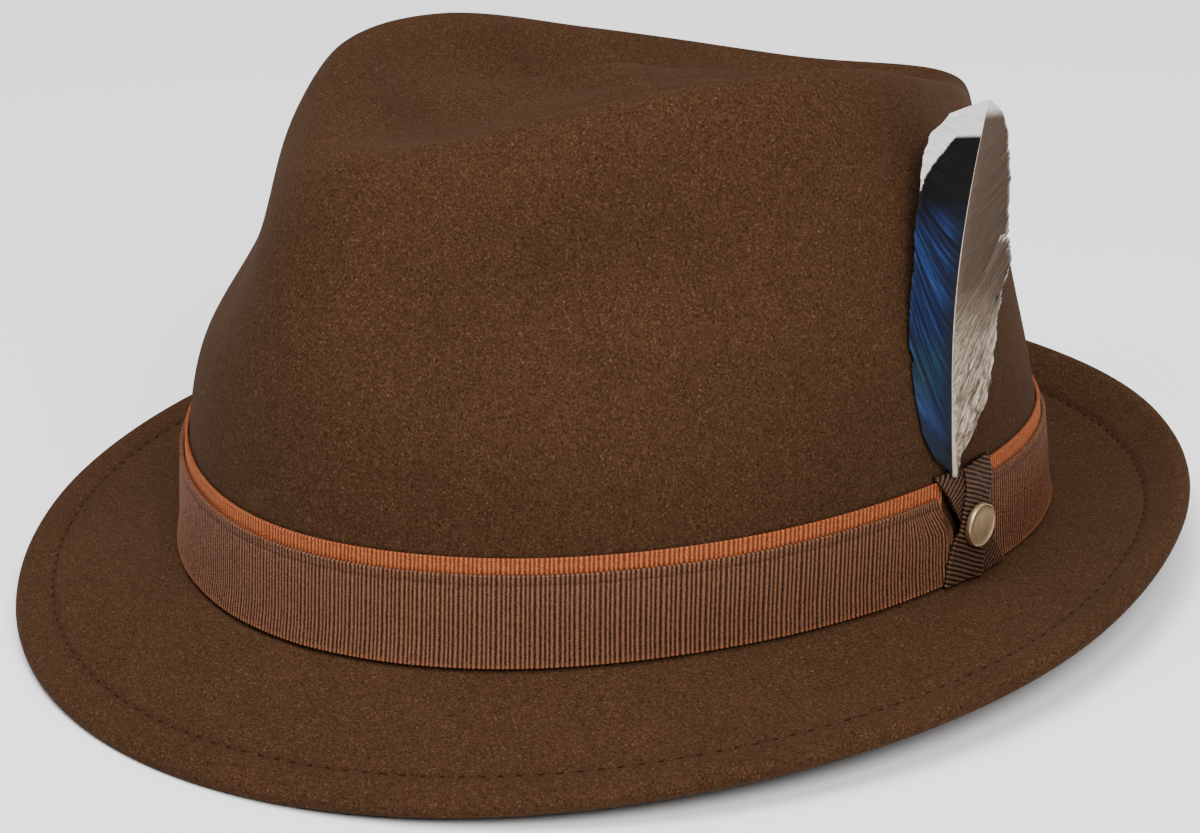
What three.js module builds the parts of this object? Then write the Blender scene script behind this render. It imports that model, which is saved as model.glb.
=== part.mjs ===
// A short-brimmed felt trilby: one hollow felt body, a two-tone ribbon band with a
// crossed knot and a round stud on the wearer's left, and a small folded feather.
// Millimetres, +Z up. The hat rests on the plane z = 0 with its front towards -Y
// and the wearer's left towards +X. Turns are counted from the front over +X.
import * as THREE from 'three';

// Felt
const HEAD_LENGTH = 200;
const HEAD_WIDTH = 165;
const WALL = 2;
const CROWN_HEIGHT = 100;
const CROWN_LEAN = 0.155;
const RIDGE_SETBACK = 4.5;
const RIDGE_HEIGHT = 93.5;
const BRIM_WIDTH = 38;
const BREAK_RADIUS = 2;
const WELT_WIDTH = 9;
const WELT_FOLD = 2;
const REST_PRESS = 0.5;

// Ribbons
const CLEARANCE = 0.3;
const TRIM_TOP = 23.2;
const TRIM_HEIGHT = 10;
const TRIM_THICKNESS = 0.5;
const TRIM_SHOWN = 3.2;
const BAND_THICKNESS = 0.7;
const BAND_FLARE = 0.5;
const FLARE_HEIGHT = 6;
const STRAP_THICKNESS = 0.7;
const STRAP_HOOK = 1.3;

// Knot, stud and feather
const KNOT_TURN = 99.4;
const UNDER_WIDTH = 8;
const UNDER_SLANT = 15.5;
const UNDER_SHIFT = 2.7;
const OVER_WIDTH = 11.5;
const OVER_SLANT = -7.2;
const OVER_SHIFT = 1.9;
const OVER_LEVEL = 1.3;
const OVER_RAMP = 3.6;
const TRIM_END = 7;
const BAND_END = 3.6;
const BAND_END_CUT = 5.5;
const STUD_DIAMETER = 9.5;
const STUD_THICKNESS = 1.4;
const STUD_RIM = 0.5;
const STUD_BEVEL = 0.3;
const STUD_SINK = 0.2;
const STUD_SHIFT = 1.6;
const STUD_LEVEL = 12.2;
const STUD_TURN = -1;
const FEATHER_LENGTH = 78;
const FEATHER_WIDTH = 24;
const FEATHER_THICKNESS = 0.7;
const FEATHER_FOLD = 8;
const FOLD_SHARE = 0.4;
const FEATHER_BOW = 7;
const FEATHER_STAND_OFF = 3.5;
const FEATHER_LEAN_BACK = 5.9;
const FEATHER_LEAN_IN = 3;
const FEATHER_FACING = 8;
const FEATHER_SHIFT = -4.6;
const QUILL_RADIUS = 0.9;
const QUILL_TAPER = 0.6;

// Numbers of facets
const TURNS = 64;
const CROWN_RINGS = 17;
const BRIM_RINGS = 5;
const BREAK_RINGS = 2;
const EDGE_RINGS = 4;

// Crown sections from the front (0) to the back (180), the same on both sides. Each
// pair is a control point of the section: reach as a share of the felt's outer
// oval, and height as a share of CROWN_HEIGHT above the hat's own base plane.
const CROWN_SECTIONS = [
  { turn: 0, low: [0.995, 0.22], waist: [0.975, 0.48], high: [0.925, 0.755], shoulder: [0.82, 0.96],
    rim: [0.72, 0.95], lip: [0.615, 0.94], dent: [0.49, 0.9], ridge: [0.29, 0.92] },
  { turn: 30, low: [0.995, 0.23], waist: [0.97, 0.483], high: [0.825, 0.66], shoulder: [0.793, 0.945],
    rim: [0.65, 1.02], lip: [0.55, 0.975], dent: [0.46, 0.89], ridge: [0.295, 0.915] },
  { turn: 60, low: [1.02, 0.22], waist: [0.98, 0.465], high: [0.822, 0.705], shoulder: [0.783, 0.955],
    rim: [0.71, 1.09], lip: [0.585, 1], dent: [0.475, 0.94], ridge: [0.285, 0.935] },
  { turn: 90, low: [1, 0.22], waist: [1, 0.48], high: [0.94, 0.72], shoulder: [0.855, 0.945],
    rim: [0.72, 1.08], lip: [0.56, 0.98], dent: [0.405, 0.85], ridge: [0.235, 0.99] },
  { turn: 120, low: [0.99, 0.21], waist: [0.92, 0.45], high: [0.88, 0.66], shoulder: [0.815, 0.835],
    rim: [0.715, 0.99], lip: [0.58, 0.9], dent: [0.43, 0.835], ridge: [0.23, 0.98] },
  { turn: 150, low: [0.975, 0.21], waist: [0.915, 0.43], high: [0.862, 0.623], shoulder: [0.811, 0.815],
    rim: [0.76, 0.89], lip: [0.61, 0.83], dent: [0.485, 0.88], ridge: [0.25, 0.91] },
  { turn: 180, low: [0.985, 0.22], waist: [0.955, 0.43], high: [0.93, 0.645], shoulder: [0.962, 0.843],
    rim: [0.878, 0.79], lip: [0.635, 0.775], dent: [0.465, 0.82], ridge: [0.26, 0.87] },
];
const CROWN_COLUMNS = ['low', 'waist', 'high', 'shoulder', 'rim', 'lip', 'dent', 'ridge'];

// Brim sections at the same turns, all as shares of BRIM_WIDTH: level is the height
// of the break, reach the plan width, fall the slope at the break and lift the
// height of the edge above the break.
const BRIM_SECTIONS = [
  { turn: 0, level: -0.045, reach: 0.98, fall: -0.38, lift: -0.415 },
  { turn: 30, level: -0.015, reach: 1.0, fall: -0.37, lift: -0.36 },
  { turn: 60, level: 0.047, reach: 1.03, fall: -0.35, lift: -0.22 },
  { turn: 90, level: 0.07, reach: 1.0, fall: -0.31, lift: -0.04 },
  { turn: 120, level: 0.025, reach: 0.875, fall: -0.25, lift: 0.21 },
  { turn: 150, level: -0.055, reach: 0.755, fall: -0.19, lift: 0.35 },
  { turn: 180, level: -0.095, reach: 0.715, fall: -0.16, lift: 0.36 },
];

// Feather sections from the quill's foot (0) to the tip (1): the widths of the front
// and back vanes as shares of FEATHER_WIDTH.
const FEATHER_SECTIONS = [
  { along: 0, front: 0.03, back: 0.03 },
  { along: 0.05, front: 0.22, back: 0.09 },
  { along: 0.12, front: 0.33, back: 0.25 },
  { along: 0.23, front: 0.39, back: 0.455 },
  { along: 0.38, front: 0.435, back: 0.55 },
  { along: 0.5, front: 0.445, back: 0.61 },
  { along: 0.57, front: 0.455, back: 0.665 },
  { along: 0.65, front: 0.47, back: 0.61 },
  { along: 0.75, front: 0.505, back: 0.52 },
  { along: 0.85, front: 0.525, back: 0.445 },
  { along: 0.92, front: 0.5, back: 0.34 },
  { along: 0.97, front: 0.35, back: 0.2 },
  { along: 1, front: 0.03, back: 0.04 },
];

const radians = THREE.MathUtils.degToRad;
const lerp = THREE.MathUtils.lerp;
const smoothstep = THREE.MathUtils.smoothstep;
const OVAL_X = HEAD_WIDTH / 2 + WALL;
const OVAL_Y = HEAD_LENGTH / 2 + WALL;

// Value of a table's column at any turn: a Catmull-Rom curve through the rows, which
// run on as their own mirror image past the front and the back.
function acrossRows(rows, turn, pick) {
  const step = 180 / (rows.length - 1);
  const wrapped = ((turn % 360) + 360) % 360;
  const place = (wrapped <= 180 ? wrapped : 360 - wrapped) / step;
  const first = Math.min(Math.floor(place), rows.length - 2);
  const f = place - first;
  const last = rows.length - 1;
  const at = (k) => pick(rows[last - Math.abs(last - Math.abs(k))]);
  const weights = [
    (-f + 2 * f * f - f ** 3) / 2,
    (2 - 5 * f * f + 3 * f ** 3) / 2,
    (f + 4 * f * f - 3 * f ** 3) / 2,
    (-f * f + f ** 3) / 2,
  ];
  return weights.reduce((sum, weight, k) => sum + weight * at(first - 1 + k), 0);
}

// Foot of the crown's wall at a turn, and the outward direction there
function ovalPoint(turn) {
  return new THREE.Vector3(OVAL_X * Math.sin(radians(turn)), -OVAL_Y * Math.cos(radians(turn)), 0);
}
function ovalNormal(turn) {
  const across = Math.sin(radians(turn)) / OVAL_X;
  const ahead = -Math.cos(radians(turn)) / OVAL_Y;
  return new THREE.Vector3(across, ahead, 0).normalize();
}

function brimShare(turn, column) {
  return BRIM_WIDTH * acrossRows(BRIM_SECTIONS, turn, (row) => row[column]);
}

// Height of the brim's upper face at a distance out from the break
function brimHeight(turn, out) {
  const share = out / brimShare(turn, 'reach');
  const fall = brimShare(turn, 'fall');
  const lift = brimShare(turn, 'lift');
  return brimShare(turn, 'level') + fall * share + (lift - fall) * share * share;
}

// Control points of one crown section, from the break up to the ridge
function crownControls(turn) {
  const points = [[1, brimShare(turn, 'level')]];
  for (const column of CROWN_COLUMNS) {
    const reach = acrossRows(CROWN_SECTIONS, turn, (row) => row[column][0]);
    const height = CROWN_HEIGHT * acrossRows(CROWN_SECTIONS, turn, (row) => row[column][1]);
    points.push([reach, height]);
  }
  return points;
}

// The crown's outer face: a uniform cubic B-spline from the break (climb 0) to the
// middle of the ridge (climb 9), where it runs on into the opposite section.
const CROWN_SPANS = CROWN_COLUMNS.length + 1;
function crownPoint(turn, climb) {
  const points = crownControls(turn);
  const last = points[CROWN_SPANS - 1];
  const opposite = crownControls(turn + 180)[CROWN_SPANS - 1];
  const middle = [(opposite[0] - last[0]) / 4, (6 * RIDGE_HEIGHT - last[1] - opposite[1]) / 4];
  const before = [2 * points[0][0] - points[1][0], 2 * points[0][1] - points[1][1]];
  const all = [before, ...points, middle, [-opposite[0], opposite[1]]];
  const first = Math.min(Math.floor(climb), CROWN_SPANS - 1);
  const f = climb - first;
  const weights = [
    (1 - f) ** 3 / 6,
    (3 * f ** 3 - 6 * f * f + 4) / 6,
    (-3 * f ** 3 + 3 * f * f + 3 * f + 1) / 6,
    f ** 3 / 6,
  ];
  let reach = 0;
  let height = 0;
  weights.forEach((weight, k) => {
    reach += weight * all[first + k][0];
    height += weight * all[first + k][1];
  });
  const point = ovalPoint(turn).multiplyScalar(reach);
  point.y += RIDGE_SETBACK * (1 - reach);
  point.z = height * (1 + CROWN_LEAN * point.x / HEAD_WIDTH);
  return point;
}

// Climb at which a section stands a given height above the break
function climbAt(turn, height) {
  const level = brimShare(turn, 'level');
  let low = 0;
  let high = 3;
  for (let round = 0; round < 30; round += 1) {
    const middle = (low + high) / 2;
    if (crownPoint(turn, middle).z - level < height) low = middle;
    else high = middle;
  }
  return low;
}

// A point held off the crown's wall, by its height above the break
function besideWall(turn, height, off) {
  const point = crownPoint(turn, climbAt(turn, height));
  return point.addScaledVector(ovalNormal(turn), off);
}

// The felt's upper face runs from the ridge (0) over the wall (1) and the rounded
// break (2) to the edge of the brim (3).
function feltPoint(turn, run) {
  const wallEnd = climbAt(turn, BREAK_RADIUS);
  if (run <= 1) return crownPoint(turn, lerp(CROWN_SPANS, wallEnd, run));
  const outward = ovalNormal(turn);
  const foot = crownPoint(turn, 0);
  const onBrim = (out) => {
    const point = foot.clone().addScaledVector(outward, out);
    point.z = brimHeight(turn, out);
    return point;
  };
  if (run <= 2) {
    const bend = new THREE.QuadraticBezierCurve3(crownPoint(turn, wallEnd), foot, onBrim(BREAK_RADIUS));
    return bend.getPoint(run - 1);
  }
  return onBrim(lerp(BREAK_RADIUS, brimShare(turn, 'reach'), run - 2));
}

const SMALL_RUN = 0.01;
function feltNormal(turn, run) {
  const low = Math.max(run - SMALL_RUN, SMALL_RUN / 10);
  const high = Math.min(run + SMALL_RUN, 3);
  const along = feltPoint(turn, high).sub(feltPoint(turn, low));
  const around = feltPoint(turn + 0.5, run).sub(feltPoint(turn - 0.5, run));
  return along.cross(around).normalize();
}

function below(turn, run, depth) {
  return feltPoint(turn, run).addScaledVector(feltNormal(turn, run), -depth);
}

// Share of the brim's run in which the folded welt ends
const WELT_STEP = 0.03;

// One section of the felt body, from the ridge over the brim's edge and back under
// the brim, with its folded welt, to the inside of the crown.
function feltSection(turn) {
  const section = [];
  const reach = brimShare(turn, 'reach');
  const weltRun = 3 - WELT_WIDTH / (reach - BREAK_RADIUS);
  const edgeDepth = WALL + WELT_FOLD;
  const edgeRun = 3 - edgeDepth / 2 / (reach - BREAK_RADIUS);
  for (let k = 1; k <= CROWN_RINGS; k += 1) section.push(feltPoint(turn, k / CROWN_RINGS));
  for (let k = 1; k <= BREAK_RINGS; k += 1) section.push(feltPoint(turn, 1 + k / BREAK_RINGS));
  for (let k = 1; k <= BRIM_RINGS; k += 1) section.push(feltPoint(turn, 2 + (edgeRun - 2) * k / BRIM_RINGS));
  const normal = feltNormal(turn, edgeRun);
  const outward = feltPoint(turn, 3).sub(feltPoint(turn, 3 - SMALL_RUN)).normalize();
  const middle = below(turn, edgeRun, edgeDepth / 2);
  for (let k = 1; k <= EDGE_RINGS; k += 1) {
    const angle = Math.PI * k / EDGE_RINGS;
    const point = middle.clone().addScaledVector(normal, Math.cos(angle) * edgeDepth / 2);
    section.push(point.addScaledVector(outward, Math.sin(angle) * edgeDepth / 2));
  }
  section.push(below(turn, (edgeRun + weltRun) / 2, edgeDepth));
  section.push(below(turn, weltRun, edgeDepth));
  section.push(below(turn, weltRun - WELT_STEP, WALL));
  for (let k = BRIM_RINGS - 2; k >= 0; k -= 1) {
    section.push(below(turn, 2 + (weltRun - 2 - 3 * WELT_STEP) * k / (BRIM_RINGS - 1), WALL));
  }
  for (let k = BREAK_RINGS - 1; k >= 0; k -= 1) section.push(below(turn, 1 + k / BREAK_RINGS, WALL));
  for (let k = CROWN_RINGS - 1; k >= 1; k -= 1) section.push(below(turn, k / CROWN_RINGS, WALL));
  return section;
}

function geometryOf(points, faces) {
  const geometry = new THREE.BufferGeometry();
  geometry.setAttribute('position', new THREE.Float32BufferAttribute(points.flatMap((p) => p.toArray()), 3));
  geometry.setIndex(faces.flat());
  geometry.computeVertexNormals();
  return geometry;
}

// A closed body from whole sections around a first and a last middle point
function roundBody(sections, first, last) {
  const rings = sections[0].length;
  const points = [first, ...sections.flat(), last];
  const faces = [];
  const at = (i, j) => 1 + (i % sections.length) * rings + j;
  sections.forEach((section, i) => {
    faces.push([0, at(i, 0), at(i + 1, 0)]);
    for (let j = 0; j < rings - 1; j += 1) {
      faces.push([at(i, j), at(i, j + 1), at(i + 1, j)]);
      faces.push([at(i + 1, j), at(i, j + 1), at(i + 1, j + 1)]);
    }
    faces.push([points.length - 1, at(i + 1, rings - 1), at(i, rings - 1)]);
  });
  return geometryOf(points, faces);
}

// A closed strip from two matching grids of points, front and back. Seen from the
// front, a grid's rows go up and its columns go to the right.
function strip(front, back) {
  const rows = front.length;
  const columns = front[0].length;
  const points = [...front.flat(), ...back.flat()];
  const faces = [];
  const f = (i, j) => i * columns + j;
  const b = (i, j) => rows * columns + i * columns + j;
  const quad = (p, q, r, s) => faces.push([p, q, r], [p, r, s]);
  for (let i = 0; i < rows - 1; i += 1) {
    for (let j = 0; j < columns - 1; j += 1) {
      quad(f(i, j), f(i, j + 1), f(i + 1, j + 1), f(i + 1, j));
      quad(b(i, j), b(i + 1, j), b(i + 1, j + 1), b(i, j + 1));
    }
    quad(f(i, 0), f(i + 1, 0), b(i + 1, 0), b(i, 0));
    quad(f(i, columns - 1), b(i, columns - 1), b(i + 1, columns - 1), f(i + 1, columns - 1));
  }
  for (let j = 0; j < columns - 1; j += 1) {
    quad(f(0, j), b(0, j), b(0, j + 1), f(0, j + 1));
    quad(f(rows - 1, j), f(rows - 1, j + 1), b(rows - 1, j + 1), b(rows - 1, j));
  }
  return geometryOf(points, faces);
}

// Degrees of turn for a length along the wall near the knot
function turnFromKnot(length) {
  return KNOT_TURN + THREE.MathUtils.radToDeg(length / OVAL_Y);
}

// Lowest height above the break that clears the rounded break and the brim
function seatHeight(turn, off) {
  const corner = Math.max(BREAK_RADIUS - off, 0);
  const bend = BREAK_RADIUS - Math.sqrt(BREAK_RADIUS ** 2 - corner ** 2);
  const slope = brimHeight(turn, off) - brimShare(turn, 'level');
  return Math.max(bend, slope) + CLEARANCE;
}

const TRIM_OFF = CLEARANCE;
const BAND_OFF = TRIM_OFF + TRIM_THICKNESS + CLEARANCE;
const STRAP_OFF = BAND_OFF + BAND_THICKNESS + CLEARANCE;
const BAND_TOP = TRIM_TOP - TRIM_SHOWN;
const STRAP_TOP = TRIM_TOP + STRAP_HOOK;

// How far the band and what crosses it stand out towards the band's lower edge
function flareAt(height) {
  return BAND_FLARE * (1 - smoothstep(height, 0, FLARE_HEIGHT));
}

// A ribbon laid round the wall, open under the knot. Each level has its height, its
// distance off the felt, and the lengths from the knot at which it begins and ends.
function ribbon(levels, thickness) {
  const grid = (depth) => levels.map((level) => {
    const from = turnFromKnot(level.begin);
    const to = turnFromKnot(level.end) + 360;
    const row = [];
    for (let k = 0; k <= TURNS; k += 1) {
      const turn = lerp(from, to, k / TURNS);
      row.push(besideWall(turn, level.height(turn), level.off + depth));
    }
    return row;
  });
  return strip(grid(thickness), grid(0));
}

function trimRibbon() {
  const rise = [0, 0.5, 1];
  return ribbon(rise.map((share) => ({
    height: () => TRIM_TOP - TRIM_HEIGHT * (1 - share),
    off: TRIM_OFF,
    begin: UNDER_WIDTH / 4,
    end: -TRIM_END,
  })), TRIM_THICKNESS);
}

function bandRibbon() {
  const rise = [0, 0.12, 0.3, 0.55, 0.8, 1];
  return ribbon(rise.map((share) => {
    const off = BAND_OFF + flareAt(BAND_TOP * share);
    return {
      height: (turn) => lerp(seatHeight(turn, off), BAND_TOP, share),
      off,
      begin: OVER_WIDTH / 2,
      end: -BAND_END - BAND_END_CUT * smoothstep(share, 0.5, 1),
    };
  }), BAND_THICKNESS);
}

// How far off the felt a strap lies at a height, hooked in over the trim's top
function strapOff(height) {
  if (height <= BAND_TOP + CLEARANCE) return STRAP_OFF + flareAt(height);
  if (height <= TRIM_TOP + CLEARANCE) {
    const share = (height - BAND_TOP - CLEARANCE) / TRIM_SHOWN;
    return lerp(STRAP_OFF, BAND_OFF, share);
  }
  const share = (height - TRIM_TOP - CLEARANCE) / (STRAP_HOOK - CLEARANCE);
  return lerp(BAND_OFF, CLEARANCE, Math.min(share, 1));
}

function underCentre(height) {
  return UNDER_SHIFT + UNDER_SLANT * (0.5 - height / STRAP_TOP);
}
function overCentre(height) {
  return OVER_SHIFT + OVER_SLANT * (0.5 - height / STRAP_TOP);
}

// Share of the lift that carries the over strap across the under strap
function overLift(length, height) {
  const slantCosine = STRAP_TOP / Math.hypot(STRAP_TOP, UNDER_SLANT);
  const apart = Math.abs(length - underCentre(height)) * slantCosine - UNDER_WIDTH / 2;
  return 1 - smoothstep(apart, OVER_LEVEL, OVER_RAMP);
}

const STRAP_LEVELS = [0, 0.06, 0.15, 0.25, 0.35, 0.45, 0.55, 0.65, 0.74, 0.82, 0.89, 0.96, 1];
const STRAP_COLUMNS = 8;
function strap(centre, width, slant, offAt) {
  const slanted = width * Math.hypot(STRAP_TOP, slant) / STRAP_TOP;
  const foot = (turn) => seatHeight(turn, STRAP_OFF + BAND_FLARE);
  const grid = (depth) => STRAP_LEVELS.map((level) => {
    const row = [];
    for (let k = 0; k <= STRAP_COLUMNS; k += 1) {
      const rough = STRAP_TOP * level;
      const length = centre(rough) + slanted * (k / STRAP_COLUMNS - 0.5);
      const turn = turnFromKnot(length);
      const height = lerp(foot(turn), STRAP_TOP, level);
      row.push(besideWall(turn, height, offAt(length, height) + depth));
    }
    return row;
  });
  return strip(grid(STRAP_THICKNESS), grid(0));
}

function underStrap() {
  return strap(underCentre, UNDER_WIDTH, UNDER_SLANT, (length, height) => strapOff(height));
}

function overStrap() {
  const step = STRAP_THICKNESS + CLEARANCE;
  return strap(overCentre, OVER_WIDTH, OVER_SLANT, (length, height) => (
    strapOff(height) + step * overLift(length, height)
  ));
}

// The stud: a shallow round cap with a raised rim, turned about its own axis
function studGeometry() {
  const radius = STUD_DIAMETER / 2;
  const profile = [
    [0, 0],
    [radius - STUD_BEVEL, 0],
    [radius, STUD_BEVEL],
    [radius, STUD_THICKNESS - STUD_BEVEL],
    [radius - STUD_BEVEL, STUD_THICKNESS],
    [radius - STUD_RIM, STUD_THICKNESS],
    [radius - STUD_RIM - STUD_SINK, STUD_THICKNESS - STUD_SINK],
    [0, STUD_THICKNESS - STUD_SINK],
  ];
  return new THREE.LatheGeometry(profile.map(([r, h]) => new THREE.Vector2(r, h)), 32);
}

function placeStud() {
  const turn = turnFromKnot(STUD_SHIFT);
  const off = STRAP_OFF + 2 * STRAP_THICKNESS + CLEARANCE + CLEARANCE;
  const facing = ovalNormal(turn).applyAxisAngle(new THREE.Vector3(0, 0, 1), radians(STUD_TURN));
  const tilt = Math.sin(radians(Math.abs(STUD_TURN))) * STUD_DIAMETER / 2;
  const place = new THREE.Matrix4().makeRotationFromQuaternion(
    new THREE.Quaternion().setFromUnitVectors(new THREE.Vector3(0, 1, 0), facing),
  );
  place.setPosition(besideWall(turn, STUD_LEVEL, off + tilt));
  return place;
}

// The feather: two vanes folded back from a bowed quill, one closed strip
const VANE_COLUMNS = 4;
function featherGeometry() {
  const foot = besideWall(turnFromKnot(FEATHER_SHIFT), STRAP_TOP + CLEARANCE, CLEARANCE + QUILL_RADIUS * 2);
  const facing = new THREE.Vector3(Math.cos(radians(FEATHER_FACING)), -Math.sin(radians(FEATHER_FACING)), 0);
  const side = new THREE.Vector3(-facing.y, facing.x, 0);
  const up = new THREE.Vector3(0, 0, Math.cos(radians(FEATHER_LEAN_IN)));
  up.addScaledVector(facing, -Math.sin(radians(FEATHER_LEAN_IN)));
  up.multiplyScalar(Math.cos(radians(FEATHER_LEAN_BACK)));
  up.addScaledVector(side, Math.sin(radians(FEATHER_LEAN_BACK)));
  const out = side.clone().cross(up).normalize();
  const across = up.clone().cross(out).normalize();
  const grid = (depth) => FEATHER_SECTIONS.map((row) => {
    const quill = foot.clone().addScaledVector(up, row.along * FEATHER_LENGTH);
    quill.addScaledVector(across, -FEATHER_BOW * Math.sin(Math.PI * row.along));
    quill.addScaledVector(out, FEATHER_STAND_OFF * Math.sin(Math.PI * row.along));
    const fold = radians(FEATHER_FOLD) * smoothstep(row.along, 0, FOLD_SHARE);
    const line = [];
    for (let k = -VANE_COLUMNS; k <= VANE_COLUMNS; k += 1) {
      const share = Math.abs(k) / VANE_COLUMNS;
      const width = share * FEATHER_WIDTH * (k < 0 ? row.front : row.back);
      const ridge = QUILL_RADIUS * (1 - row.along * QUILL_TAPER) * Math.max(1 - share * VANE_COLUMNS, 0);
      const point = quill.clone();
      point.addScaledVector(across, Math.sign(k) * width * Math.cos(fold));
      point.addScaledVector(out, -width * Math.sin(fold));
      point.addScaledVector(out, depth * (FEATHER_THICKNESS / 2 + ridge));
      line.push(point);
    }
    return line;
  });
  return strip(grid(1), grid(-1));
}

// How the hat settles: it pitches until the front of the brim and the back of the
// break touch the surface together, and the felt is pressed flat where it rests.
function restingPlace(points) {
  const lowest = (angle, front) => Math.min(...points
    .filter((p) => (p.y < 0) === front)
    .map((p) => p.y * Math.sin(angle) + p.z * Math.cos(angle)));
  let low = radians(-15);
  let high = radians(15);
  for (let round = 0; round < 40; round += 1) {
    const middle = (low + high) / 2;
    if (lowest(middle, true) > lowest(middle, false)) low = middle;
    else high = middle;
  }
  const place = new THREE.Matrix4().makeRotationX(low);
  const settled = new THREE.Box3().setFromPoints(points.map((p) => p.clone().applyMatrix4(place)));
  const middle = (settled.min.y + settled.max.y) / 2;
  return place.premultiply(new THREE.Matrix4().makeTranslation(0, -middle, -settled.min.z - REST_PRESS));
}

function flattenAtRest(geometry) {
  const position = geometry.getAttribute('position');
  for (let k = 0; k < position.count; k += 1) position.setZ(k, Math.max(position.getZ(k), 0));
  geometry.computeVertexNormals();
}

const sections = Array.from({ length: TURNS }, (_, i) => feltSection(360 * i / TURNS));
const ridge = crownPoint(0, CROWN_SPANS);
const feltGeometry = roundBody(sections, ridge, ridge.clone().setZ(ridge.z - WALL));
const rest = restingPlace(sections.flat());

const hat = new THREE.Group();
function addPiece(name, geometry, color, roughness, metalness) {
  const mesh = new THREE.Mesh(geometry, new THREE.MeshStandardMaterial({ color, roughness, metalness }));
  mesh.name = name;
  hat.add(mesh);
}

feltGeometry.applyMatrix4(rest);
flattenAtRest(feltGeometry);
addPiece('felt_body', feltGeometry, 0x583925, 0.95, 0);
addPiece('trim_ribbon', trimRibbon().applyMatrix4(rest), 0xa96037, 0.75, 0);
addPiece('band_ribbon', bandRibbon().applyMatrix4(rest), 0x6a4128, 0.7, 0);
addPiece('bow_strap_under', underStrap().applyMatrix4(rest), 0x4a2c1c, 0.75, 0);
addPiece('bow_strap_over', overStrap().applyMatrix4(rest), 0x4a2c1c, 0.75, 0);
addPiece('stud', studGeometry().applyMatrix4(placeStud()).applyMatrix4(rest), 0x876f51, 0.35, 1);
addPiece('feather', featherGeometry().applyMatrix4(rest), 0x3a4358, 0.6, 0);

export default hat;
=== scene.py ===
# The looks of the felt trilby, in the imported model's frame. Lengths are in millimetres
# until a mesh is made, and turns are in degrees from the front over the wearer's left.
import math

import bpy
import numpy as np
from mathutils import Matrix, Vector


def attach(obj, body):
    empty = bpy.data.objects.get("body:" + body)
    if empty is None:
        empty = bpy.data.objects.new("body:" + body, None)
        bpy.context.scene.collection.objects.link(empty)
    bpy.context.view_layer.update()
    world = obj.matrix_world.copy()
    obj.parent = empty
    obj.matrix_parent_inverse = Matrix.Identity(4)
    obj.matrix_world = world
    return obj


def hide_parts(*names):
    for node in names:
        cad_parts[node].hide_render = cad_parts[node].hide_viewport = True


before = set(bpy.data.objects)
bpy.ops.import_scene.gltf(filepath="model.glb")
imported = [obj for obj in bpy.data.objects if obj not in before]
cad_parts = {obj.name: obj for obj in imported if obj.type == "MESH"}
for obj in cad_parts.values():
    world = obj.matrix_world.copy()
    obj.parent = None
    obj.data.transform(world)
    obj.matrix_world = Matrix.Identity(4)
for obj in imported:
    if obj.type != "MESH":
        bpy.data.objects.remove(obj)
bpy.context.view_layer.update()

# The hat's own dimensions, the same as in the CAD source
HEAD_LENGTH = 200
HEAD_WIDTH = 165
WALL = 2
CROWN_HEIGHT = 100
CROWN_LEAN = 0.155
RIDGE_SETBACK = 4.5
RIDGE_HEIGHT = 93.5
BRIM_WIDTH = 38
BREAK_RADIUS = 2
WELT_WIDTH = 9
WELT_FOLD = 2
CLEARANCE = 0.3
TRIM_TOP = 23.2
TRIM_HEIGHT = 10
TRIM_THICKNESS = 0.5
TRIM_SHOWN = 3.2
BAND_THICKNESS = 0.7
BAND_FLARE = 0.5
FLARE_HEIGHT = 6
STRAP_THICKNESS = 0.7
STRAP_HOOK = 1.3
KNOT_TURN = 99.4
UNDER_WIDTH = 8
UNDER_SLANT = 15.5
UNDER_SHIFT = 2.7
OVER_WIDTH = 11.5
OVER_SLANT = -7.2
OVER_SHIFT = 1.9
OVER_LEVEL = 1.3
OVER_RAMP = 3.6
TRIM_END = 7
BAND_END = 3.6
BAND_END_CUT = 5.5
STUD_DIAMETER = 9.5
STUD_THICKNESS = 1.4
STUD_RIM = 0.5
STUD_SHIFT = 1.6
STUD_LEVEL = 12.2
STUD_TURN = -1
FEATHER_LENGTH = 78
FEATHER_WIDTH = 24
FEATHER_FOLD = 8
FOLD_SHARE = 0.4
FEATHER_BOW = 7
FEATHER_STAND_OFF = 3.5
FEATHER_LEAN_BACK = 5.9
FEATHER_LEAN_IN = 3
FEATHER_FACING = 8
FEATHER_SHIFT = -4.6
QUILL_RADIUS = 0.9

# How the hat settles on the surface: pitched back, then moved. The CAD source works
# these out, and they are copied from it.
REST_PITCH = 3.3366
REST_FORWARD = 4.168
REST_UP = 11.7812

# Ribs, seams and stitches, which only this script has
RIB_PITCH = 1.0
RIB_DEPTH = 0.16
RIBBON_SEAM = 1.9
OVER_RIB_SLOPE = 0.42
SEAM_INSET = 8.6
SEAM_DEPTH = 0.4
SEAM_WIDTH = 0.7
WELT_SWELL = 0.4
STITCH_LENGTH = 1.8
STITCH_STEP = 3.9
STITCH_RADIUS = 0.2
STITCH_SUNK = 0.8
STITCH_SIDES = 6
STITCH_RISE = np.array([-0.45, 0.06, 0.12, 0.06, -0.45])
SELVEDGE_WIDTH = 0.4

# Steps of the felt's mesh, round the hat and from the ridge over the edge and back
FELT_TURNS = 320
WALL_RINGS = 120
BREAK_RINGS = 6
BRIM_RINGS = 14
SEAM_RINGS = 24
EDGE_RINGS = 10
WELT_RINGS = 6
UNDER_RINGS = 11
UNDER_BREAK_RINGS = 4
HOLLOW_RINGS = 60

# The strip by the brim's edge where the rings lie close, and a small step of a run
SEAM_STRIP = 12.5
RUN_STEP = 0.02

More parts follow.
